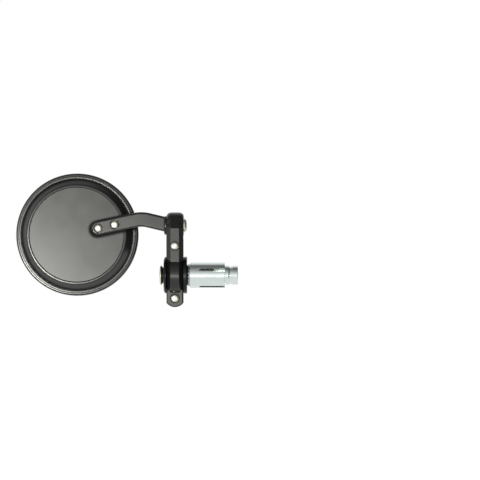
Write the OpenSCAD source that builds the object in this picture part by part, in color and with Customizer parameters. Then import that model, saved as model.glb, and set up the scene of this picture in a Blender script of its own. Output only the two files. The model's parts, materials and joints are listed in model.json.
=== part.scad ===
// Round bar end mirror: a cast head on a bent arm, a split clamp link that turns on a flanged
// spool, and a steel plug that grips the bore of a handlebar tube.
// X runs into the bar, Z is up, and the glass faces +Y. The origin is on the plug's axis, at
// the outboard end of the expander sleeve.

/* [Head] */
// Outside diameter of the round head, over the bezel ring
head_d = 82.7; // [76:0.5:88]
// Radial width of the bezel ring's rolled edge, seen from behind
bezel_roll_w = 1.95; // [1.8:0.05:2.8]
// Thickness of the bezel ring's metal
bezel_t = 0.9; // [0.7:0.05:1.2]
// Radial width of the bead on the housing's flange, inside the bezel
bead_w = 1.6; // [1:0.05:2.5]
// Radial width of the sloping wall around the raised back
slope_w = 4.3; // [3.5:0.05:6]
// Height of the flat back above the bead
back_rise = 6.1; // [4.5:0.1:8]
// Rounding of the raised back's edge
back_edge_r = 1.1; // [0.8:0.1:2.2]
// Width of the shallow groove turned just inside the flat back's edge
groove_w = 0.8; // [0.6:0.1:2]
// Depth of that groove
groove_depth = 0.1; // [0.03:0.01:0.15]
// Wall of the cast housing
shell_t = 1.8; // [1.4:0.1:2.4]
// Thickness of the housing's flange under the glass
flange_t = 2.2; // [1.8:0.1:3.5]
// Thickness of the mirror glass
glass_t = 2; // [1.5:0.1:3]
// Radius of curvature of the convex glass
glass_curve_r = 1000; // [800:50:1600]
// Thickness of the foam tape under the glass
tape_t = 0.5; // [0.3:0.1:0.8]
// Radial width of the foam tape
tape_w = 2.6; // [1.5:0.1:3]
// Distance that the bezel's front lip reaches over the glass
lip_w = 2.7; // [1.5:0.1:4]

/* [Arm] */
// Height of the arm's flat bar
arm_h = 9.8; // [8.6:0.1:11]
// Thickness of the arm, front to back
arm_t = 6.5; // [6:0.1:8]
// Rounding along the arm's front edges
arm_edge_r = 1.5; // [0.8:0.1:2]
// Rounding along the arm's rear edges
arm_rear_edge_r = 0.6; // [0.3:0.1:1]
// Length of the straight run beside the hub
arm_inner_run = 12.1; // [9:0.1:18]
// Length of the straight run from the bend to the outer screw
arm_outer_run = 25.2; // [22:0.1:30]
// Radius of the bend along the arm's middle line
arm_bend_r = 20; // [16:0.5:30]
// Angle at which the inner run climbs away from the hub
arm_climb = 13.3; // [8:0.1:18]
// Angle at which the outer run drops towards the head
arm_drop = 12.3; // [8:0.1:18]
// Height of the arm's middle line above the pivot, at the hub
arm_lift = 0.7; // [0:0.1:1.2]
// Distance between the two arm screws
arm_screw_pitch = 11.2; // [10:0.1:14]
// Distance of the head's centre outboard of the outer screw
head_out = 14.9; // [8:0.1:18]
// Distance of the head's centre below the outer screw
head_down = 4.35; // [0:0.05:8]

/* [Pivot] */
// Distance of the pivot behind the bar's axis
pivot_y = 4.25; // [3.5:0.05:5.5]
// Height of the pivot above the bar's axis
pivot_z = 33.3; // [31:0.1:40]
// Radius of the link's knuckle
knuckle_r = 8.8; // [8:0.1:10]
// Width of the rounding at each of the knuckle's rims, along the pivot
knuckle_edge_w = 3.3; // [1.5:0.1:3.6]
// Depth of the rounding at each of the knuckle's rims, across the pivot
knuckle_edge_d = 2.5; // [1:0.1:2.7]
// Radius of the arm's round hub
hub_r = 6.3; // [6:0.1:7]
// Length of the hub's dome, along the pivot
hub_len = 1.35; // [1:0.05:1.8]
// Diameter of the pivot bolt
pivot_bolt_d = 5; // [4:0.5:5]
// Thickness of the friction washer in the pivot
pivot_washer_t = 0.45; // [0.3:0.05:0.8]
// Depth of the pocket for the spring washer
spring_pocket = 0.5; // [0.4:0.05:0.8]
// Length of thread in the arm's hub
pivot_thread_len = 4.6; // [3.5:0.1:5]

/* [Link and clamp] */
// Width of the link and its clamp ring, along the bar's axis
link_w = 11.5; // [10.4:0.1:13]
// How far the machined faces of the ring and the knuckle stand off the bar's sides
face_proud = 0.1; // [0.05:0.05:0.3]
// Width of the flat strip between the link's front chamfers
strip_w = 5.6; // [5:0.1:7]
// Distance of the link's flat front before the bar's axis
link_front = 8.4; // [7.8:0.1:9.4]
// Tilt of the link's upper facet, back to the knuckle
facet_tilt = 38; // [30:1:42]
// Outer radius of the clamp ring
ring_r = 12.25; // [11.6:0.05:13.5]
// Gap between the two halves of the clamp
split_gap = 0.5; // [0.3:0.1:1]
// Height of the upper clamp screw above the bar's axis
clamp_screw_up = 19.6; // [18.4:0.1:20]
// Distance of the lower clamp screw below the bar's axis
clamp_screw_down = 15.4; // [15:0.1:18]
// Radius of the tabs' round ends
tab_r = 7; // [5.7:0.1:8]
// Distance of the tabs' lowest point below the lower screw
tab_end = 6; // [5:0.1:8]
// Thickness of the front tab
tab_front_t = 3.35; // [2.8:0.05:4.5]
// Thickness of the rear tab
tab_rear_t = 4; // [3.5:0.1:5]
// Chamfer around the tabs
tab_chamfer = 0.8; // [0.4:0.1:1.2]
// Distance of the rear lug's back face behind the bar's axis
lug_back = 6.6; // [6:0.1:8]

/* [Spool] */
// Radius of the spool's two flanges
flange_r = 12.3; // [11.6:0.1:14]
// Width of the inboard flange
flange_in_w = 2.15; // [1.6:0.05:3]
// Width of the outboard flange
flange_out_w = 1.65; // [1.4:0.05:3]
// Chamfer of the outboard flange, along the axis
flange_chamfer_x = 0.9; // [0.5:0.1:1.2]
// Chamfer of the outboard flange, across the axis
flange_chamfer_r = 1.4; // [0.8:0.1:2]
// Radius of the drum that the clamp turns on
drum_r = 7; // [6.6:0.1:7.6]
// Length of the spool's inboard boss
boss_len = 0.8; // [0.5:0.1:1.5]
// Radius of the spool's inboard boss
boss_r = 6.95; // [6.5:0.05:7.6]

/* [Bar plug] */
// Radius of the expander sleeve, which fits the handlebar's bore
sleeve_r = 8.5; // [8.3:0.1:9.5]
// Length of the expander sleeve
sleeve_len = 23.2; // [20:0.1:28]
// Thickness of the sleeve's closed outboard end
sleeve_end_t = 3.2; // [2.4:0.1:5]
// Length of the taper inside the sleeve's mouth
taper_len = 8.4; // [6:0.1:10]
// Angle of the taper, from the axis
taper_angle = 10; // [8:0.5:12]
// Width of the sleeve's slots
slot_w = 2; // [1:0.1:2.4]
// Number of slots
slot_count = 4; // [2:1:6]
// Start of the slots, from the sleeve's outboard end
slot_start = 6.2; // [4.5:0.1:8]
// Turn of the slots about the axis
slot_turn = 64.7; // [0:0.1:90]
// Radius of the wedge nut's collar
wedge_r = 6.5; // [6.2:0.05:6.8]
// Length of the wedge nut's cone inside the sleeve
cone_len = 7.4; // [5:0.1:8]
// Length of the wedge nut's collar
collar_len = 2.4; // [1.8:0.1:3.5]
// Radius of the wedge nut's waist
waist_r = 5.65; // [5.2:0.05:5.9]
// Length of the flare from the waist to the tail
flare_len = 3.2; // [2.6:0.1:4.5]
// Radius of the wedge nut's tail
tail_r = 6.3; // [6:0.05:6.4]
// Length of the wedge nut's tail
tail_len = 3.1; // [2.5:0.1:5]
// Travel of the wedge nut into the sleeve
draw_travel = 1.5; // [1:0.1:2]
// Radius of the thin washers inboard of the spool
washer_r = 7.4; // [6.6:0.1:8]
// Thickness of the plain washer
plain_washer_t = 0.6; // [0.4:0.1:1]
// Thickness of the toothed washer
toothed_washer_t = 0.7; // [0.5:0.1:1]

/* [Fasteners] */
// Diameter of the end bolt
end_bolt_d = 6; // [5:0.5:6]
// Radius of the end bolt's countersunk head
end_head_r = 6.65; // [6.2:0.05:7]
// Height of the head's raised crown
end_crown_h = 0.9; // [0.5:0.1:1.4]
// How far the head's rim stands off the spool
end_head_proud = 2.1; // [1.5:0.1:2.4]
// Height of the straight rim between the crown and the cone
end_head_rim = 0.25; // [0.1:0.05:0.5]
// Diameter of the arm and clamp screws
screw_d = 3; // [2.5:0.1:3]
// Radius of the arm and clamp screws' heads
screw_head_r = 2.75; // [2.5:0.05:2.9]
// Height of the arm and clamp screws' heads
screw_head_h = 1.6; // [1.3:0.1:2]
// Depth of the counterbores on the arm
arm_counterbore = 1.2; // [0.8:0.1:1.6]
// Depth of the counterbores on the clamp
clamp_counterbore = 0.9; // [0.6:0.1:1.2]
// Radius of the pivot bolt's head
pivot_head_r = 4.7; // [4.3:0.05:4.8]
// Height of the pivot bolt's head
pivot_head_h = 2.1; // [1.8:0.1:2.8]
// Thickness of the tapped plate inside the head
plate_t = 2.5; // [2:0.1:3]

/* [Clearances] */
// Radial clearance of shafts that turn in a bore
run_gap = 0.05; // [0.03:0.01:0.08]
// Radial clearance of a screw in a plain hole
hole_gap = 0.2; // [0.15:0.05:0.3]
// Side clearance of the clamp between the flanges
side_gap = 0.1; // [0.05:0.05:0.2]
// Clearance between parts that are fixed together
seat_gap = 0.1; // [0.05:0.05:0.15]
// Clearance around a screw's head in its counterbore
head_gap = 0.2; // [0.15:0.05:0.3]

/* [Hidden] */
$fn = 96;
black_coat = "#3a3b3b";
black_anodised = "#242526";
zinc = "#cfd3d2";
stainless = "#d9d9d2";
far = 60;
join_lap = 0.02;

// Stack along the bar's axis, from the sleeve's outboard end to the spool's outboard face
spool_in_x = -plain_washer_t - toothed_washer_t;
flange_in_face = spool_in_x - boss_len;
flange_in_back = flange_in_face - flange_in_w;
link_in_x = flange_in_back - side_gap;
link_x = link_in_x - link_w / 2;
link_out_x = link_in_x - link_w;
flange_out_back = link_out_x - side_gap;
flange_out_face = flange_out_back - flange_out_w;
end_rim_x = flange_out_face - end_head_proud;

// Radii that fit round the screws and bolts
screw_r = screw_d / 2;
end_bolt_r = end_bolt_d / 2;
end_hole_r = end_bolt_r + hole_gap;
pivot_bolt_r = pivot_bolt_d / 2;
counterbore_r = screw_head_r + head_gap;

// Link: height of its front corner, from the facet that runs just inside the knuckle's cylinder
ring_chamfer = (link_w - strip_w) / 2;
bar_half_w = link_w / 2 - face_proud;
facet_in = 0.08;
facet_r = knuckle_r - facet_in;
facet_z = pivot_z + (facet_r - (pivot_y + link_front) * cos(facet_tilt)) / sin(facet_tilt);
facet_top = pivot_z + (facet_r - facet_in) * sin(facet_tilt);
lug_top = pivot_z - knuckle_r - split_gap;
tab_z = tab_r - tab_end - clamp_screw_down;

// Arm: its hub, the ends of its runs and the places of its screws, seen from behind the head
hub_x = link_out_x - pivot_washer_t - side_gap;
arm_front_y = pivot_y - arm_t / 2;
arm_back_y = pivot_y + arm_t / 2;
arm_start = [hub_x, pivot_z + arm_lift];
climb_dir = [-cos(arm_climb), sin(arm_climb)];
drop_dir = [-cos(arm_drop), -sin(arm_drop)];
bend_start = arm_start + arm_inner_run * climb_dir;
arm_bend_at = bend_start - arm_bend_r * [sin(arm_climb), cos(arm_climb)];
outer_screw = arm_bend_at + arm_bend_r * [-sin(arm_drop), cos(arm_drop)] + arm_outer_run * drop_dir;
inner_screw = outer_screw - arm_screw_pitch * drop_dir;
head_at = outer_screw - [head_out, head_down];

// Head: radii from the rim inwards, and depths from the flat back towards the glass
head_r = head_d / 2;
seam_r = head_r - bezel_roll_w;
foot_r = seam_r - bead_w;
back_r = foot_r - slope_w;
valley = 0.35;
foot_depth = back_rise + valley;
slope_angle = atan(foot_depth / slope_w);
seat_depth = back_rise + flange_t;
ledge_r = back_r + seat_depth / tan(slope_angle) - shell_t / sin(slope_angle);
glass_r = head_r - bezel_t - seat_gap;
glass_edge_depth = seat_depth + tape_t + glass_t;
lip_depth = glass_edge_depth + sag(glass_r) - sag(glass_r - lip_w) + seat_gap;
roll_t = 0.75;
roll_depth = 1.9;
groove_out_r = back_r - back_edge_r;
seam_round = 0.15;
crest_w = 0.7;

// Plug: the taper that the wedge nut is drawn into
taper_rise = tan(taper_angle);
mouth_r = wedge_r + draw_travel * taper_rise + run_gap;
sleeve_bore_r = mouth_r - taper_len * taper_rise;
collar_x = sleeve_len + seat_gap;
wedge_end_x = collar_x + collar_len + flare_len + tail_len;

function sag(r) = glass_curve_r - sqrt(glass_curve_r * glass_curve_r - r * r);
function unit(v) = v / norm(v);
function turn_of(a) = a > 180 ? a - 360 : (a < -180 ? a + 360 : a);

// Points of a round corner at b between a and c, no wider than its two edges allow
function corner(a, b, c, r) =
    r <= 0 ? [b] :
    let (
        u = unit(a - b),
        v = unit(c - b),
        half = acos(u * v) / 2,
        reach = min(r / tan(half), 0.48 * norm(a - b), 0.48 * norm(c - b)),
        fit_r = reach * tan(half),
        m = b + unit(u + v) * fit_r / sin(half),
        p = b + u * reach,
        q = b + v * reach,
        a0 = atan2(p.y - m.y, p.x - m.x),
        sweep = turn_of(atan2(q.y - m.y, q.x - m.x) - a0),
        steps = max(2, ceil(abs(sweep) / 13))
    )
    [for (i = [0 : steps]) m + fit_r * [cos(a0 + sweep * i / steps), sin(a0 + sweep * i / steps)]];

// Outline with its corners rounded: each point is [x, y, radius]
function rounded(pts) =
    let (n = len(pts))
    [for (i = [0 : n - 1]) each corner(
        [pts[(i + n - 1) % n].x, pts[(i + n - 1) % n].y],
        [pts[i].x, pts[i].y],
        [pts[(i + 1) % n].x, pts[(i + 1) % n].y],
        pts[i].z)];

// Quarter of an ellipse from the crown's edge [r0, z1] down to [r1, z0]
function quarter(r0, z1, r1, z0, n = 6) =
    [for (i = [0 : n]) [r0 + (r1 - r0) * sin(90 * i / n), z0 + (z1 - z0) * cos(90 * i / n)]];

// Turns a shape's Z axis to +X, about the bar's axis
module along_x() {
    rotate([0, 90, 0]) children();
}

// Sets a shape on the pivot's axis, its Z axis to +X
module on_pivot() {
    translate([0, pivot_y, pivot_z]) along_x() children();
}

// Stands a drawing up in the plane at depth y, its Z axis towards the viewer
module standing(y) {
    translate([0, y, 0]) rotate([90, 0, 0]) children();
}

// Side view of the link: drawn with Y to the right and Z up, thick along X
module side_on() {
    translate([link_x, 0, 0]) rotate([90, 0, 90]) children();
}

// Sets a turned shape on the head's axis, its Z axis from the flat back to the glass
module on_head() {
    translate([head_at.x, arm_back_y, head_at.y]) rotate([-90, 0, 0]) children();
}

// Button head screw with a hex socket: the head's seat is at z = 0, the shank goes down
module button_screw(shank_r, head_radius, head_h, length, key) {
    tip = 0.4;
    difference() {
        rotate_extrude() polygon(concat(
            [[0, head_h]],
            quarter(head_radius * 0.35, head_h, head_radius, head_h * 0.2),
            [[head_radius, 0], [shank_r, 0], [shank_r, tip - length]],
            [[shank_r - tip, -length], [0, -length]]));
        translate([0, 0, head_h * 0.45]) cylinder(d = key / cos(30), h = head_h, $fn = 6);
    }
}

// Flat washer from z = 0 up
module washer(outer_r, inner_r, t) {
    difference() {
        cylinder(r = outer_r, h = t);
        translate([0, 0, -t]) cylinder(r = inner_r, h = 3 * t);
    }
}

// The cast shell: flat raised back, sloping wall, bead and the flange under the glass
module head_housing() {
    bead_round = 0.3;
    flange_edge = head_r - bezel_t - seat_gap;
    inner_corner_r = back_r - shell_t * tan(slope_angle / 2);
    outline = rounded([
        [0, 0, 0],
        [groove_out_r - groove_w, 0, 0],
        [groove_out_r - groove_w / 2, groove_depth, 0],
        [groove_out_r, 0, 0],
        [back_r, 0, back_edge_r],
        [foot_r, foot_depth, 0.5],
        [foot_r + bead_round, back_rise, bead_round],
        [seam_r - seam_round, back_rise, seam_round],
        [seam_r, back_rise + roll_t, 0],
        [flange_edge, back_rise + roll_t, 0],
        [flange_edge, seat_depth, 0],
        [ledge_r, seat_depth, 0],
        [inner_corner_r, shell_t, back_edge_r],
        [0, shell_t, 0]
    ]);
    color(black_coat) difference() {
        on_head() rotate_extrude($fn = 180) polygon(outline);
        arm_screw_bores(screw_r + hole_gap);
    }
}

// The rolled ring that laps over the flange and the edge of the glass
module bezel_ring() {
    tip_r = seam_r + seat_gap;
    inner_r = head_r - bezel_t;
    front_depth = lip_depth + bezel_t * 0.75;
    roll = quarter(tip_r + crest_w, back_rise, head_r, back_rise + roll_depth, 8);
    outline = rounded(concat([
        [tip_r, back_rise + roll_t, 0],
        [tip_r, back_rise + seam_round, 0],
        [tip_r + seam_round, back_rise, 0]
    ], [for (p = roll) [p.x, p.y, 0]], [
        [head_r, front_depth, 0.7],
        [glass_r - lip_w, front_depth, 0.3],
        [glass_r - lip_w, lip_depth, 0],
        [inner_r, lip_depth, 0],
        [inner_r, back_rise + roll_t, 0]
    ]));
    color(black_coat) on_head() rotate_extrude($fn = 180) polygon(outline);
}

// Convex glass, silvered behind
module mirror_glass() {
    rings = 8;
    back = [for (i = [0 : rings]) let (r = glass_r * i / rings)
        [r, glass_edge_depth - glass_t + sag(glass_r) - sag(r)]];
    front = [for (i = [rings : -1 : 0]) let (r = glass_r * i / rings)
        [r, glass_edge_depth + sag(glass_r) - sag(r)]];
    color("#a9b8c2") on_head() rotate_extrude($fn = 180) polygon(concat(back, front));
}

// Foam tape between the housing's ledge and the glass
module glass_tape() {
    outer_r = glass_r - 2 * seat_gap;
    color("#1c1c1c") on_head() translate([0, 0, seat_depth])
        washer(outer_r, max(outer_r - tape_w, ledge_r), tape_t);
}

// Tapped steel plate inside the housing, behind the flat back
module screw_plate() {
    plate_r = 2 * screw_r + seat_gap;
    plate_corner = 1;
    color(zinc) difference() {
        standing(arm_back_y + shell_t) mirror([0, 0, 1]) linear_extrude(plate_t)
            translate(inner_screw) rotate(180 + arm_drop) polygon(rounded([
                [-plate_r, -plate_r, plate_corner],
                [arm_screw_pitch + plate_r, -plate_r, plate_corner],
                [arm_screw_pitch + plate_r, plate_r, plate_corner],
                [-plate_r, plate_r, plate_corner]
            ]));
        arm_screw_bores(screw_r + run_gap);
    }
}

// Both screws' bores through the arm and the head
module arm_screw_bores(r) {
    for (at = [outer_screw, inner_screw])
        translate([at.x, arm_front_y - far / 2, at.y]) rotate([-90, 0, 0]) cylinder(r = r, h = far);
}

// Section across the arm's bar: height along x, depth along y, front edges rounder
function arm_section() = rounded([
    [-arm_h / 2, -arm_t / 2, arm_rear_edge_r],
    [arm_h / 2, -arm_t / 2, arm_rear_edge_r],
    [arm_h / 2, arm_t / 2, arm_edge_r],
    [-arm_h / 2, arm_t / 2, arm_edge_r]
]);

// The part of that section between the outer screw and one side, for the round end
function arm_half_section() = rounded([
    [screw_r, -arm_t / 2, 0],
    [arm_h / 2, -arm_t / 2, arm_rear_edge_r],
    [arm_h / 2, arm_t / 2, arm_edge_r],
    [screw_r, arm_t / 2, 0]
]);

// A straight run of the bar along +X from the present place, its start let in by `lap`
module arm_run(length, lap = 0) {
    translate([-lap, 0, 0]) rotate([90, 0, 90]) linear_extrude(length + lap) polygon(arm_section());
}

// The bar, followed from the hub: inner run, bend, outer run and round end
module arm_bar() {
    standing(pivot_y) translate(arm_start) rotate(180 - arm_climb) {
        arm_run(arm_inner_run, arm_h / 4);
        translate([arm_inner_run, arm_bend_r, 0]) {
            rotate(-90) rotate_extrude(angle = arm_climb + arm_drop)
                translate([arm_bend_r, 0]) polygon(arm_section());
            rotate(arm_climb + arm_drop) translate([0, -arm_bend_r, 0]) {
                arm_run(arm_outer_run, join_lap);
                translate([arm_outer_run, 0, 0]) rotate(-90)
                    rotate_extrude(angle = 180) polygon(arm_half_section());
            }
        }
    }
}

// The arm: one casting, with counterbores in front and the tapped hub at its inner end
module arm() {
    crown_r = 3.6;
    hub_skirt = 0.35;
    hub = concat(
        [[0, hub_x - hub_len]],
        quarter(crown_r, hub_x - hub_len, hub_r, hub_x - hub_skirt),
        [[hub_r, hub_x], [0, hub_x]]);
    color(black_coat) difference() {
        union() {
            difference() {
                arm_bar();
                translate([hub_x - hub_skirt, -far / 2, 0]) cube(far);
            }
            translate([0, pivot_y, pivot_z]) along_x() rotate_extrude() polygon(hub);
        }
        arm_screw_bores(screw_r + hole_gap);
        for (at = [outer_screw, inner_screw]) translate([at.x, arm_front_y, at.y]) rotate([-90, 0, 0])
            screw_recess(arm_counterbore);
        on_pivot() translate([0, 0, hub_x - pivot_thread_len])
            cylinder(r = pivot_bolt_r + run_gap, h = far);
    }
}

// Counterbore with a broken edge, cut down from z = 0
module screw_recess(depth) {
    lead = 0.35;
    rotate_extrude() polygon([
        [0, -depth],
        [counterbore_r + lead + depth, -depth],
        [counterbore_r, lead],
        [counterbore_r, depth],
        [0, depth]
    ]);
}

module arm_screw(at) {
    plate_back = arm_back_y + shell_t + plate_t;
    seat_y = arm_front_y + arm_counterbore;
    color(stainless) translate([at.x, 0, at.y]) standing(seat_y)
        button_screw(screw_r, screw_head_r, screw_head_h, plate_back - seat_y, 2);
}

module arm_screw_outer() {
    arm_screw(outer_screw);
}

module arm_screw_inner() {
    arm_screw(inner_screw);
}

// M5 screw through the knuckle into the arm's hub, its head inboard
module pivot_bolt() {
    tip_gap = 0.3;
    color(stainless) on_pivot() translate([0, 0, link_in_x])
        button_screw(pivot_bolt_r, pivot_head_r, pivot_head_h,
            link_in_x - hub_x + pivot_thread_len - tip_gap, 3);
}

// Section across the link: depth from its front along x, width along y
function link_section(t) =
    let (half = bar_half_w, front = half - strip_w / 2, back = 0.8)
    [
        [0, -strip_w / 2], [0, strip_w / 2], [front, half], [t - back, half],
        [t, half - back], [t, back - half], [t - back, -half], [front, -half]
    ];

// A straight run of the link from the bar's axis up, its face `front` before the axis
module link_run(front, top) {
    side_on() translate([-front, 0, 0]) rotate([-90, 0, 0])
        linear_extrude(top + join_lap) polygon(link_section(front - split_gap / 2));
}

// Clamp ring, chamfered like the link, cut to the half before the parting plane
module half_ring() {
    difference() {
        side_on() rotate_extrude() polygon([
            [drum_r, -link_w / 2], [ring_r - ring_chamfer, -link_w / 2], [ring_r, -strip_w / 2],
            [ring_r, strip_w / 2], [ring_r - ring_chamfer, link_w / 2], [drum_r, link_w / 2]
        ]);
        translate([-far, -split_gap / 2, -far / 2]) cube(far);
    }
}

// Tab below the ring, built forwards from the parting plane, with a chamfered edge
module tab(t) {
    half = bar_half_w;
    section = [
        [-half, 0], [half, 0], [half, t - tab_chamfer], [half - tab_chamfer, t],
        [tab_chamfer - half, t], [-half, t - tab_chamfer]
    ];
    translate([link_x, 0, tab_z]) standing(-split_gap / 2) {
        translate([0, -tab_z, 0]) rotate([90, 0, 0]) linear_extrude(-tab_z) polygon(section);
        intersection() {
            rotate_extrude() polygon([
                [0, 0], [tab_r, 0], [tab_r, t - tab_chamfer], [tab_r - tab_chamfer, t], [0, t]
            ]);
            translate([0, tab_r, 0]) rotate([90, 0, 0]) linear_extrude(2 * tab_r) polygon(section);
        }
    }
}

// Bores of the clamp: the drum's seat and the two screws
module clamp_bores(r) {
    translate([link_out_x - far / 4, 0, 0]) along_x() cylinder(r = drum_r + run_gap, h = far);
    for (z = [clamp_screw_up, -clamp_screw_down])
        translate([link_x, -far / 2, z]) rotate([-90, 0, 0]) cylinder(r = r, h = far);
}

// Everything behind the link's upper facet and that facet's two chamfers
module upper_facet() {
    half = strip_w / 2;
    side_on() translate([-link_front, facet_z, 0]) rotate(-facet_tilt) rotate([-90, 0, 0])
        translate([0, 0, -far / 2]) linear_extrude(far)
            polygon([[0, -half], [0, half], [far, half + far], [far, -half - far]]);
}

// Profile of the knuckle from its middle out to one face
function knuckle_half() = concat(
    [[0, -join_lap], [0, link_w / 2]],
    quarter(knuckle_r - knuckle_edge_d, link_w / 2, knuckle_r, link_w / 2 - knuckle_edge_w),
    [[knuckle_r, -join_lap]]);

// Front half of the clamp, with the bar and the knuckle: one casting
module link() {
    color(black_coat) difference() {
        union() {
            half_ring();
            tab(tab_front_t);
            intersection() {
                link_run(link_front, facet_top);
                upper_facet();
            }
            on_pivot() translate([0, 0, link_x]) {
                rotate_extrude() polygon(knuckle_half());
                mirror([0, 0, 1]) rotate_extrude() polygon(knuckle_half());
            }
        }
        clamp_bores(screw_r + hole_gap);
        translate([link_x, -link_front, clamp_screw_up]) rotate([-90, 0, 0])
            screw_recess(clamp_counterbore);
        translate([link_x, -split_gap / 2 - tab_front_t, -clamp_screw_down]) rotate([-90, 0, 0])
            screw_recess(clamp_counterbore);
        on_pivot() translate([0, 0, link_out_x - far / 4])
            cylinder(r = pivot_bolt_r + run_gap, h = far);
        on_pivot() translate([0, 0, link_in_x - spring_pocket])
            cylinder(r = pivot_head_r + head_gap, h = far);
    }
}

// Rear half of the clamp, tapped for both screws
module clamp_cap() {
    lug_slope = 2;
    color(black_coat) difference() {
        mirror([0, 1, 0]) {
            half_ring();
            tab(tab_rear_t);
            difference() {
                link_run(lug_back, lug_top);
                translate([link_x, -lug_back, lug_top - lug_slope]) rotate([45, 0, 0])
                    translate([-link_w, -far, 0]) cube([2 * link_w, far, far]);
            }
        }
        clamp_bores(screw_r + run_gap);
    }
}

module clamp_screw_upper() {
    seat_y = clamp_counterbore - link_front;
    color(stainless) translate([link_x, 0, clamp_screw_up]) standing(seat_y)
        button_screw(screw_r, screw_head_r, screw_head_h, lug_back - seat_y - screw_r, 2);
}

module clamp_screw_lower() {
    seat_y = clamp_counterbore - split_gap / 2 - tab_front_t;
    color(stainless) translate([link_x, 0, -clamp_screw_down]) standing(seat_y)
        button_screw(screw_r, screw_head_r, screw_head_h, split_gap / 2 + tab_rear_t - seat_y, 2);
}

// Friction washer between the arm's hub and the knuckle
module pivot_washer() {
    color("#1a1a1a") on_pivot() translate([0, 0, link_out_x - pivot_washer_t - side_gap / 2])
        washer(hub_r - seat_gap, pivot_bolt_r + run_gap, pivot_washer_t);
}

// Spring washer in the knuckle's pocket, under the bolt's head
module pivot_spring_washer() {
    color(zinc) on_pivot() translate([0, 0, link_in_x - spring_pocket])
        washer(pivot_head_r, pivot_bolt_r + run_gap, spring_pocket - run_gap);
}

// The spool: drum, two flanges and an inboard boss, turned in one piece
module bobbin() {
    sink_r = end_head_r + end_head_rim - end_head_proud + run_gap;
    edge = 0.3;
    boss_taper = 0.35;
    outline = rounded([
        [end_hole_r, spool_in_x, 0],
        [boss_r - boss_taper, spool_in_x, 0],
        [boss_r, flange_in_face, 0],
        [flange_r, flange_in_face, edge],
        [flange_r, flange_in_back, edge],
        [drum_r, flange_in_back, 0],
        [drum_r, flange_out_back, 0],
        [flange_r, flange_out_back, edge],
        [flange_r, flange_out_face + flange_chamfer_x, 0],
        [flange_r - flange_chamfer_r, flange_out_face, 0],
        [sink_r, flange_out_face, 0],
        [end_hole_r, flange_out_face + sink_r - end_hole_r, 0]
    ]);
    color(black_anodised) along_x() rotate_extrude() polygon(outline);
}

// Thin washer with notches round its rim
module toothed_washer() {
    teeth = 20;
    notch_depth = 0.9;
    notch_w = 0.9;
    color(zinc) along_x() translate([0, 0, spool_in_x]) difference() {
        washer(washer_r, end_hole_r, toothed_washer_t);
        for (i = [0 : teeth - 1]) rotate(i * 360 / teeth)
            translate([washer_r - notch_depth, 0, -toothed_washer_t]) linear_extrude(far / 20)
                polygon([[0, 0], [2 * notch_depth, -notch_w], [2 * notch_depth, notch_w]]);
    }
}

module plain_washer() {
    color(zinc) along_x() translate([0, 0, -plain_washer_t])
        washer(washer_r, end_hole_r, plain_washer_t);
}

// Slotted sleeve: closed outboard end, plain bore, then a taper that opens to the mouth
module expander_sleeve() {
    first_slot = 45;
    color(zinc) along_x() rotate(slot_turn - first_slot) difference() {
        rotate_extrude() polygon([
            [end_hole_r, 0],
            [sleeve_r, 0],
            [sleeve_r, sleeve_len],
            [mouth_r, sleeve_len],
            [sleeve_bore_r, sleeve_len - taper_len],
            [sleeve_bore_r, sleeve_end_t],
            [end_hole_r, sleeve_end_t]
        ]);
        for (i = [0 : slot_count - 1]) rotate(first_slot + i * 360 / slot_count)
            translate([0, 0, slot_start + slot_w / 2]) {
                translate([end_hole_r, -slot_w / 2, 0]) cube([sleeve_r, slot_w, sleeve_len]);
                translate([end_hole_r, 0, 0]) rotate([0, 90, 0]) cylinder(d = slot_w, h = sleeve_r);
            }
    }
}

// Raised countersunk bolt through the spool and the sleeve, with a hex socket
module end_bolt() {
    key = 4;
    key_depth = 2.2;
    tip = 0.5;
    crown_top = end_rim_x - end_crown_h;
    tip_x = wedge_end_x - tip;
    outline = concat(
        [[0, crown_top]],
        quarter(end_head_r * 0.3, crown_top, end_head_r, end_rim_x),
        [[end_head_r, end_rim_x + end_head_rim]],
        [[end_bolt_r, end_rim_x + end_head_rim + end_head_r - end_bolt_r]],
        [[end_bolt_r, tip_x - tip], [end_bolt_r - tip, tip_x], [0, tip_x]]);
    color(stainless) along_x() difference() {
        rotate_extrude() polygon(outline);
        translate([0, 0, crown_top - key_depth]) cylinder(d = key / cos(30), h = 2 * key_depth, $fn = 6);
    }
}

// Turned taper nut: cone in the sleeve, collar, waist, flare and tail
module wedge_nut() {
    cone_tip_r = wedge_r - cone_len * taper_rise;
    waist_x = collar_x + collar_len + (wedge_r - waist_r);
    flare_x = collar_x + collar_len + flare_len;
    outline = rounded([
        [end_bolt_r + run_gap, collar_x - cone_len, 0],
        [cone_tip_r, collar_x - cone_len, 0],
        [wedge_r, collar_x, 0],
        [wedge_r, collar_x + collar_len, 0.2],
        [waist_r, waist_x, 0.5],
        [tail_r, flare_x, 0.3],
        [tail_r, wedge_end_x, 0.45],
        [end_bolt_r + run_gap, wedge_end_x, 0]
    ]);
    color(zinc) along_x() rotate_extrude() polygon(outline);
}

head_housing();
bezel_ring();
mirror_glass();
glass_tape();
screw_plate();
arm();
arm_screw_outer();
arm_screw_inner();
pivot_bolt();
link();
clamp_cap();
clamp_screw_upper();
clamp_screw_lower();
pivot_washer();
pivot_spring_washer();
bobbin();
toothed_washer();
plain_washer();
expander_sleeve();
end_bolt();
wedge_nut();
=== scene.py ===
import json
from math import radians

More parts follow.
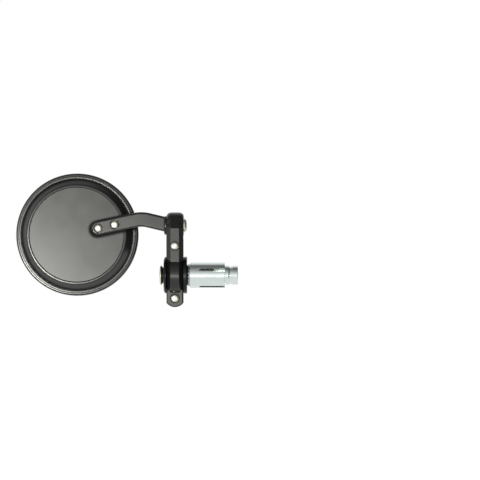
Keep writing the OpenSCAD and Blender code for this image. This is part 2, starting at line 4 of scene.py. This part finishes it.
import bpy
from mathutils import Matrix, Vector


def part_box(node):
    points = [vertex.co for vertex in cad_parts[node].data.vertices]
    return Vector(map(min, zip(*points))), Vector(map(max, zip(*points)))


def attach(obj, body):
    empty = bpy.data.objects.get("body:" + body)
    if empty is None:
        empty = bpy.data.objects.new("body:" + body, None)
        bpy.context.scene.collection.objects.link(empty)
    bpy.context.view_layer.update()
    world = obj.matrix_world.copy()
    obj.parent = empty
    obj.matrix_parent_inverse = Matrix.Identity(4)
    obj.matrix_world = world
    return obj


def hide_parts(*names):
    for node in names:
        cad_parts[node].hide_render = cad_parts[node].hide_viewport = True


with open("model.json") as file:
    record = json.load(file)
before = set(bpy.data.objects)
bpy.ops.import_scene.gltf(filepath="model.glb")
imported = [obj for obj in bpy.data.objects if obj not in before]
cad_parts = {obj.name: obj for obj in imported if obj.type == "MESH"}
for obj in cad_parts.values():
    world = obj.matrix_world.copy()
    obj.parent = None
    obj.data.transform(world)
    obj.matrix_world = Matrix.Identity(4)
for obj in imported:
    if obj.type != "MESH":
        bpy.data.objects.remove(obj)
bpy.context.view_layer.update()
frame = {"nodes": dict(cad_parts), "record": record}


# Expander sleeve: a turned steel tube, slotted so that its fingers spread in the handlebar's
# bore. It is zinc plated and passivated, so it is pale with a cold tint, and the rings that the
# turning tool left still show through the plating.


def linear(code):
    """A colour written as sRGB hex, as the linear values that a shader takes."""
    parts = [int(code[i:i + 2], 16) / 255 for i in (1, 3, 5)]
    return [p / 12.92 if p <= 0.04045 else ((p + 0.055) / 1.055) ** 2.4 for p in parts] + [1]


def add(owner, kind, links=(), **settings):
    """Adds a node. Settings are sockets by name, or the node's own properties."""
    node = owner.node_tree.nodes.new(kind)
    for key, value in settings.items():
        if hasattr(node, key):
            setattr(node, key, value)
        else:
            node.inputs[key.replace("_", " ")].default_value = value
    for source, socket in links:
        owner.node_tree.links.new(source, node.inputs[socket])
    return node


def new_material(name):
    """An empty material, and the object's own coordinates in metres."""
    material = bpy.data.materials.new(name)
    material.use_nodes = True
    material.node_tree.nodes.clear()
    place = add(material, "ShaderNodeTexCoord").outputs["Object"]
    return material, place


def scale_for(mark_mm):
    """A pattern's scale on coordinates in metres, for marks `mark_mm` millimetres wide."""
    return 1000 / mark_mm


def coated_with(material, links, **settings):
    """Ends a material with its surface, and returns it."""
    surface = add(material, "ShaderNodeBsdfPrincipled", links, **settings)
    add(material, "ShaderNodeOutputMaterial", [(surface.outputs[0], "Surface")])
    return material


def zinc_plate(name, ring_mm, ring_microns, low="#d3dddb", high="#e0e9e6"):
    """Bright zinc on turned steel. Tool rings every `ring_mm` round the plug spread the light
    along it, and the passivation leaves cloudy patches a few millimetres wide. Darker colours
    make it the bare steel of a washer."""
    metal, place = new_material(name)
    along = add(metal, "ShaderNodeMapping", [(place, "Vector")],
                Scale=(scale_for(ring_mm), scale_for(33.3), scale_for(33.3)))
    rings = add(metal, "ShaderNodeTexNoise", [(along.outputs[0], "Vector")], Scale=1.0, Detail=2.0)
    cloud = add(metal, "ShaderNodeTexNoise", [(place, "Vector")], Scale=scale_for(3.85), Detail=3.0)
    tint = add(metal, "ShaderNodeMix", [(cloud.outputs["Fac"], "Factor")], data_type="RGBA")
    tint.inputs["A"].default_value = linear(low)
    tint.inputs["B"].default_value = linear(high)
    rough = add(metal, "ShaderNodeMapRange", [(cloud.outputs["Fac"], "Value")],
                To_Min=0.1, To_Max=0.22)
    bump = add(metal, "ShaderNodeBump", [(rings.outputs["Fac"], "Height")],
               Strength=1.0, Distance=ring_microns / 1e6)
    return coated_with(metal, [(tint.outputs["Result"], "Base Color"),
                               (rough.outputs[0], "Roughness"),
                               (bump.outputs[0], "Normal")], Metallic=1.0)


def finish(node, material):
    """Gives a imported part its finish, with its own shape kept."""
    slots = frame["nodes"][node].data.materials
    slots.clear()
    slots.append(material)


def welded(node, material, crease=180, flat=0.4):
    """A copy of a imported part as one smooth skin. Edges sharper than `crease` degrees stay
    creased. Faces within `flat` degrees of each other become one, or, where that is 0 for a
    turned piece, pairs of triangles become quads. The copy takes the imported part's place in
    the picture, and moves as it does."""
    piece = bpy.data.objects.new(node + "_finished", frame["nodes"][node].data.copy())
    bpy.context.collection.objects.link(piece)
    bpy.ops.object.select_all(action="DESELECT")
    piece.select_set(True)
    bpy.context.view_layer.objects.active = piece
    if piece.data.has_custom_normals:
        bpy.ops.mesh.customdata_custom_splitnormals_clear()
    bpy.ops.object.mode_set(mode="EDIT")
    bpy.ops.mesh.select_all(action="SELECT")
    bpy.ops.mesh.remove_doubles(threshold=0.000002)
    bpy.ops.mesh.mark_sharp(clear=True)
    if flat:
        bpy.ops.mesh.dissolve_limited(angle_limit=radians(flat))
    else:
        bpy.ops.mesh.tris_convert_to_quads(face_threshold=radians(2), shape_threshold=radians(60))
    bpy.ops.object.mode_set(mode="OBJECT")
    bpy.ops.object.shade_smooth_by_angle(angle=radians(crease))
    piece.data.materials.clear()
    piece.data.materials.append(material)
    record = frame["record"]
    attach(piece, next(b for b, nodes in record["behaviour"]["bodies"].items() if node in nodes))
    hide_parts(node)
    return piece


def shade_flats(piece):
    """Lets the large flats of a piece set the shading, so that only its corners look round."""
    even = piece.modifiers.new("even", "WEIGHTED_NORMAL")
    even.weight = 100
    even.keep_sharp = True
    bpy.ops.object.modifier_apply(modifier="even")


def break_edges(node, material, width_mm, steps=2):
    """A welded copy whose sharp edges are rounded over, `width_mm` back from each corner."""
    piece = welded(node, material)
    bevel = piece.modifiers.new("edges", "BEVEL")
    bevel.width, bevel.segments = width_mm / 1000, steps
    bevel.limit_method, bevel.angle_limit = "ANGLE", radians(28)
    bpy.ops.object.modifier_apply(modifier="edges")
    shade_flats(piece)


zinc = zinc_plate("zinc_plated_steel", ring_mm=0.35, ring_microns=2.5)
break_edges("expander_sleeve", zinc, width_mm=0.2)

# Wedge nut: turned from the same steel and zinc plated. Its cone spreads the sleeve's fingers,
# and its waist and tail are turned with a wider feed than the sleeve.

finish("wedge_nut", zinc_plate("zinc_plated_nut", ring_mm=0.6, ring_microns=3))

# Two thin washers between the sleeve and the spool, a plain one and a toothed one. They are
# stamped from steel sheet and left bare, so they are greyer than the plating beside them.

bare_steel = zinc_plate("plain_steel", ring_mm=0.2, ring_microns=4, low="#8d9391", high="#a9afac")
finish("plain_washer", bare_steel)
finish("toothed_washer", bare_steel)

# Spool: turned aluminium with a flange at each end, dyed black in the anodising bath. The
# link's clamp turns on the drum between its flanges.


def black_anodised():
    """Black anodised aluminium: near black, with a tight satin shine and fine turning rings
    that pull the light out along the axis."""
    metal, place = new_material("black_anodised_aluminium")
    along = add(metal, "ShaderNodeMapping", [(place, "Vector")],
                Scale=(scale_for(0.4), scale_for(16.7), scale_for(16.7)))
    rings = add(metal, "ShaderNodeTexNoise", [(along.outputs[0], "Vector")], Scale=1.0, Detail=2.0)
    dye = add(metal, "ShaderNodeMix", [(rings.outputs["Fac"], "Factor")], data_type="RGBA")
    dye.inputs["A"].default_value = linear("#26272a")
    dye.inputs["B"].default_value = linear("#343639")
    ring_microns = 6
    bump = add(metal, "ShaderNodeBump", [(rings.outputs["Fac"], "Height")],
               Strength=1.0, Distance=ring_microns / 1e6)
    return coated_with(metal, [(dye.outputs["Result"], "Base Color"), (bump.outputs[0], "Normal")],
                       Metallic=1.0, Roughness=0.27)


break_edges("bobbin", black_anodised(), width_mm=0.4, steps=3)

# End bolt: cold headed stainless steel, with a raised countersunk head that caps the spool's
# outboard end and a thread that draws in the wedge nut.


def stainless_steel():
    """Stainless steel as a screw's maker leaves it: bright, a little warm, tumbled so that its
    shine wanders."""
    metal, place = new_material("stainless_steel")
    cloud = add(metal, "ShaderNodeTexNoise", [(place, "Vector")], Scale=scale_for(1.43), Detail=3.0)
    tint = add(metal, "ShaderNodeMix", [(cloud.outputs["Fac"], "Factor")], data_type="RGBA")
    tint.inputs["A"].default_value = linear("#cdcabb")
    tint.inputs["B"].default_value = linear("#e2dfd0")
    rough = add(metal, "ShaderNodeMapRange", [(cloud.outputs["Fac"], "Value")],
                To_Min=0.14, To_Max=0.24)
    dent_microns = 10
    bump = add(metal, "ShaderNodeBump", [(cloud.outputs["Fac"], "Height")],
               Strength=1.0, Distance=dent_microns / 1e6)
    return coated_with(metal, [(tint.outputs["Result"], "Base Color"),
                               (rough.outputs[0], "Roughness"),
                               (bump.outputs[0], "Normal")], Metallic=1.0)


steel = stainless_steel()
finish("end_bolt", steel)

# Link and clamp cap: two aluminium castings, tumbled, machined on their faces and coated in
# satin black. Two M3 screws draw them together on the spool's drum.


def satin_black(name, grain_mm, grain_microns, body, sheen_low, sheen_high):
    """Satin black coat over cast aluminium: nearly black in itself, so what the eye sees is its
    soft sheen. The coat's grain is drawn a little coarser than the real one, to show."""
    coat, place = new_material(name)
    grain = add(coat, "ShaderNodeTexNoise", [(place, "Vector")],
                Scale=scale_for(grain_mm), Detail=3.0)
    patch = add(coat, "ShaderNodeTexNoise", [(place, "Vector")], Scale=scale_for(11.1), Detail=2.0)
    rough = add(coat, "ShaderNodeMapRange", [(patch.outputs["Fac"], "Value")],
                From_Min=0.3, From_Max=0.7, To_Min=sheen_low, To_Max=sheen_high)
    tint = add(coat, "ShaderNodeMix", [(grain.outputs["Fac"], "Factor")], data_type="RGBA")
    tint.inputs["A"].default_value = linear(body)
    tint.inputs["B"].default_value = linear("#1f1f1e")
    bump = add(coat, "ShaderNodeBump", [(grain.outputs["Fac"], "Height")],
               Strength=1.0, Distance=grain_microns / 1e6)
    return coated_with(coat, [(tint.outputs["Result"], "Base Color"),
                              (rough.outputs[0], "Roughness"), (bump.outputs[0], "Normal")])


cast_black = satin_black("satin_black_casting", grain_mm=0.5, grain_microns=6,
                         body="#151515", sheen_low=0.23, sheen_high=0.27)
break_edges("clamp_cap", cast_black, width_mm=0.45, steps=4)
break_edges("link", cast_black, width_mm=0.45, steps=4)
finish("clamp_screw_upper", steel)
finish("clamp_screw_lower", steel)

# Pivot: an M5 screw through the knuckle, with a dished spring washer under its head and a
# polymer friction washer between the knuckle and the arm's hub.


def black_polymer():
    """Moulded black acetal: matt and faintly waxy."""
    polymer, place = new_material("black_acetal")
    grain = add(polymer, "ShaderNodeTexNoise", [(place, "Vector")],
                Scale=scale_for(0.667), Detail=2.0)
    rough = add(polymer, "ShaderNodeMapRange", [(grain.outputs["Fac"], "Value")],
                To_Min=0.45, To_Max=0.6)
    return coated_with(polymer, [(rough.outputs[0], "Roughness")],
                       Base_Color=linear("#1d1d1d"), IOR=1.48)


finish("pivot_washer", black_polymer())
finish("pivot_spring_washer", zinc)
finish("pivot_bolt", steel)

# Arm: cast aluminium in the same satin black, tapped at its hub and counterbored for the two
# screws that hold the head. They go into a zinc plated steel plate inside the housing.

shade_flats(welded("arm", cast_black, crease=40))
finish("arm_screw_outer", steel)
finish("arm_screw_inner", steel)
finish("screw_plate", zinc)

# Head housing and bezel: a cast aluminium shell, its flat back turned with a shallow groove and
# lip, and the ring rolled over its flange to hold the glass. Both are coated in satin black, a
# little smoother than the arm's.

head_black = satin_black("satin_black_shell", grain_mm=0.9, grain_microns=3,
                         body="#121212", sheen_low=0.22, sheen_high=0.25)


def painted_arm_shadow(material, start, end, reach, fade):
    """Paints shade on the coat within `reach` of the line under the arm, turning its sheen down
    there, so that a dark band shows round the arm's foot as a painted shadow."""
    nodes = material.node_tree.nodes
    surface = next(n for n in nodes if n.type == "BSDF_PRINCIPLED")
    place = next(n for n in nodes if n.type == "TEX_COORD").outputs["Object"]
    run = end - start
    flat = add(material, "ShaderNodeVectorMath", [(place, 0)], operation="MULTIPLY")
    flat.inputs[1].default_value = (1, 0, 1)
    from_start = add(material, "ShaderNodeVectorMath", [(flat.outputs[0], 0)],
                     operation="SUBTRACT")
    from_start.inputs[1].default_value = start
    along = add(material, "ShaderNodeVectorMath", [(from_start.outputs[0], 0)],
                operation="DOT_PRODUCT")
    along.inputs[1].default_value = run.normalized()
    share = add(material, "ShaderNodeMapRange", [(along.outputs["Value"], "Value")],
                From_Max=run.length)
    foot = add(material, "ShaderNodeVectorMath", [(share.outputs[0], "Scale")],
               operation="SCALE")
    foot.inputs[0].default_value = run
    away = add(material, "ShaderNodeVectorMath",
               [(from_start.outputs[0], 0), (foot.outputs[0], 1)], operation="DISTANCE")
    level = add(material, "ShaderNodeMapRange", [(away.outputs["Value"], "Value")],
                From_Min=reach, From_Max=reach + fade, To_Min=0.03, To_Max=0.5)
    material.node_tree.links.new(level.outputs[0], surface.inputs["Specular IOR Level"])


def middle(node):
    """The middle of a screw, as seen from behind the head."""
    low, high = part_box(node)
    return Vector(((low[0] + high[0]) / 2, 0, (low[2] + high[2]) / 2))


outer, inner = middle("arm_screw_outer"), middle("arm_screw_inner")
# Painted shadow round the arm's foot: the band of turned-down sheen lies a little down and to the
# left of the arm, and runs on under the arm past the inner screw.
shadow_shift = Vector((-0.0009, 0, -0.00075))
painted_arm_shadow(head_black, outer + shadow_shift, inner + shadow_shift + (inner - outer) * 2,
            reach=0.0052, fade=0.0017)

# The groove and the lip on the flat back keep their corners, and the bead farther out is smooth.
housing = welded("head_housing", head_black, crease=12, flat=0)
lip_depth = 0.0002
lip_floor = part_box("head_housing")[0][1] + lip_depth
corners = [edge.index for edge in housing.data.edges if edge.use_edge_sharp
           and all(housing.data.vertices[v].co.y < lip_floor for v in edge.vertices)]
bpy.ops.object.shade_smooth_by_angle(angle=radians(40))
for corner in corners:
    housing.data.edges[corner].use_edge_sharp = True
welded("bezel_ring", head_black, crease=40, flat=0)

# Mirror glass: convex float glass, silvered behind, so that it is all reflection. It sits on a
# ring of foam tape, which takes up the play between the glass and the housing's ledge.


def silvered_glass():
    """Silvered glass: a cold, even mirror with hardly any haze."""
    glass, place = new_material("silvered_glass")
    haze = add(glass, "ShaderNodeTexNoise", [(place, "Vector")], Scale=scale_for(16.7), Detail=3.0)
    rough = add(glass, "ShaderNodeMapRange", [(haze.outputs["Fac"], "Value")],
                To_Min=0.0, To_Max=0.03)
    return coated_with(glass, [(rough.outputs[0], "Roughness")],
                       Base_Color=linear("#e3e9e8"), Metallic=1.0)


def foam():
    """Closed cell foam: dull black with open pores along its cut edge."""
    tape, place = new_material("black_foam")
    pores = add(tape, "ShaderNodeTexVoronoi", [(place, "Vector")], Scale=scale_for(0.333))
    pore_depth = 0.0001
    bump = add(tape, "ShaderNodeBump", [(pores.outputs["Distance"], "Height")],
               Strength=1.0, Distance=pore_depth)
    return coated_with(tape, [(bump.outputs[0], "Normal")],
                       Base_Color=linear("#191919"), Roughness=0.9)


welded("mirror_glass", silvered_glass(), crease=40, flat=0)
finish("glass_tape", foam())

# Studio: a white surround with dark parts that only shiny surfaces see, a pale floor under the
# object, a small lamp before it and a broad one behind it, which lights only what is matt.


def surround():
    """White to the eye. To a shiny surface it is white with a dark ceiling in front and a dark
    side on the right, which draw the bands along the plug and down the head's slopes, and
    darker again low down and to the right behind. Straight behind, it is shaded on a slant, so
    that the glass shows more than one even tone."""
    world = bpy.data.worlds.new("studio")
    bpy.context.scene.world = world
    world.use_nodes = True
    world.node_tree.nodes.clear()
    way = add(world, "ShaderNodeTexCoord").outputs["Generated"]
    x, y, z = add(world, "ShaderNodeSeparateXYZ", [(way, 0)]).outputs

    def step(value, start, end, low=0.0, high=1.0):
        """Goes from `low` to `high` as the value goes from `start` to `end`."""
        return add(world, "ShaderNodeMapRange", [(value, "Value")],
                   From_Min=start, From_Max=end, To_Min=low, To_Max=high).outputs[0]

    def times(a, b):
        return add(world, "ShaderNodeMath", [(a, 0), (b, 1)], operation="MULTIPLY").outputs[0]

    def rest_of(a):
        """What is left of 1."""
        node = add(world, "ShaderNodeMath", [(a, 1)], operation="SUBTRACT", use_clamp=True)
        node.inputs[0].default_value = 1
        return node.outputs[0]

    ceiling = times(step(z, 0.1, 1.0, 0, 0.85), step(y, 0.15, 0.65, 1, 0.1))
    right_side = times(step(x, 0.1, 0.8, 0, 0.75), step(y, 0.4, 0.9, 1, 0.5))
    floor_behind = times(times(step(y, 0.0, 0.35), step(y, 0.95, 0.6)), step(z, -0.2, -0.9, 0, 0.55))
    right_behind = times(times(step(y, 0.1, 0.3), step(y, 0.8, 0.6)), step(x, 0.2, 0.7, 0, 0.8))
    slant = add(world, "ShaderNodeVectorMath", [(way, 0)], operation="DOT_PRODUCT")
    slant.inputs[1].default_value = (-0.5, 0, 0.85)
    haze = times(step(y, 0.9, 0.97), step(slant.outputs["Value"], 0.12, -0.12, 0, 0.55))
    seen = rest_of(ceiling)
    for dark in (right_side, floor_behind, right_behind, haze):
        seen = times(seen, rest_of(dark))

    path = add(world, "ShaderNodeLightPath")
    plain = add(world, "ShaderNodeMath", [(path.outputs["Is Camera Ray"], 0),
                                          (path.outputs["Is Transmission Ray"], 1)],
                operation="MAXIMUM").outputs[0]
    base = add(world, "ShaderNodeMapRange", [(plain, "Value")], To_Min=0.4, To_Max=1.0).outputs[0]
    mix = add(world, "ShaderNodeMix", [(path.outputs["Is Glossy Ray"], "Factor"), (base, "A"),
                                       (seen, "B")])
    light = add(world, "ShaderNodeBackground", [(mix.outputs["Result"], "Strength")],
                Color=(1, 1, 1, 1))
    add(world, "ShaderNodeOutputWorld", [(light.outputs[0], "Surface")])


surround()


def pale_floor():
    """Matt white board. Its own white keeps the object's shadow, and it is lifted to the
    surround's white for the eye, and part of the way for what shines."""
    board, place = new_material("white_board")
    fibre = add(board, "ShaderNodeTexNoise", [(place, "Vector")], Scale=scale_for(25))
    tint = add(board, "ShaderNodeMix", [(fibre.outputs["Fac"], "Factor")], data_type="RGBA")
    tint.inputs["A"].default_value = linear("#e6e6e6")
    tint.inputs["B"].default_value = linear("#eaeaea")
    path = add(board, "ShaderNodeLightPath")
    shine = add(board, "ShaderNodeMath", [(path.outputs["Is Glossy Ray"], 0)],
                operation="MULTIPLY")
    shine.inputs[1].default_value = 0.5
    lift = add(board, "ShaderNodeMath", [(path.outputs["Is Camera Ray"], 0),
                                         (shine.outputs[0], 2)], operation="MULTIPLY_ADD")
    lift.inputs[1].default_value = 0.6
    return coated_with(board, [(tint.outputs["Result"], "Base Color"),
                               (lift.outputs[0], "Emission Strength")],
                       Emission_Color=(1, 1, 1, 1), Roughness=0.9)


floor_place = (-0.05, 0, -0.16)
floor_size = (1.0, 0.8, 1)
bpy.ops.object.select_all(action="DESELECT")
bpy.ops.mesh.primitive_grid_add(x_subdivisions=2, y_subdivisions=2, size=1, location=floor_place)
floor = bpy.context.active_object
floor.name = "floor"
floor.scale = floor_size
bpy.ops.object.transform_apply(location=True, scale=True)
floor.data.materials.append(pale_floor())

object_middle = Vector((-0.05, 0, 0.02))


def lamp(name, place, size, watts, shines=True):
    """A round lamp, a little warm, turned to the object. One that doesn't shine isn't seen in
    shiny surfaces."""
    data = bpy.data.lights.new(name, "AREA")
    data.shape, data.size, data.energy = "DISK", size, watts
    data.color = (1, 1, 0.93)
    obj = bpy.data.objects.new(name, data)
    obj.location = place
    obj.visible_glossy = shines
    obj.rotation_euler = (object_middle - Vector(place)).to_track_quat("-Z", "Y").to_euler()
    bpy.context.collection.objects.link(obj)


lamp("key", place=(-0.38, -1.67, -0.17), size=0.14, watts=15)
lamp("back", place=(-0.7, 1.7, 0.8), size=0.4, watts=12, shines=False)

# Camera: it looks straight at the back of the head, as the photograph does. The plug's outboard
# end is at the pixel below in a picture 480 pixels wide, and a pixel is 0.67 mm there.

PICTURE = 480
PLUG_END = (190.1, 275.1)
PIXEL = 0.00067
DISTANCE = 1.67

camera = bpy.data.objects.new("camera", bpy.data.cameras.new("camera"))
bpy.context.collection.objects.link(camera)
bpy.context.scene.camera = camera
camera.location = ((PICTURE / 2 - PLUG_END[0]) * PIXEL, -DISTANCE,
                   (PLUG_END[1] - PICTURE / 2) * PIXEL)
camera.rotation_euler = (radians(90), 0, 0)
camera.data.sensor_width = 36
camera.data.lens = camera.data.sensor_width * DISTANCE / (PICTURE * PIXEL)
camera.data.clip_start, camera.data.clip_end = 0.01, 100

bpy.context.scene.view_settings.view_transform = "Standard"
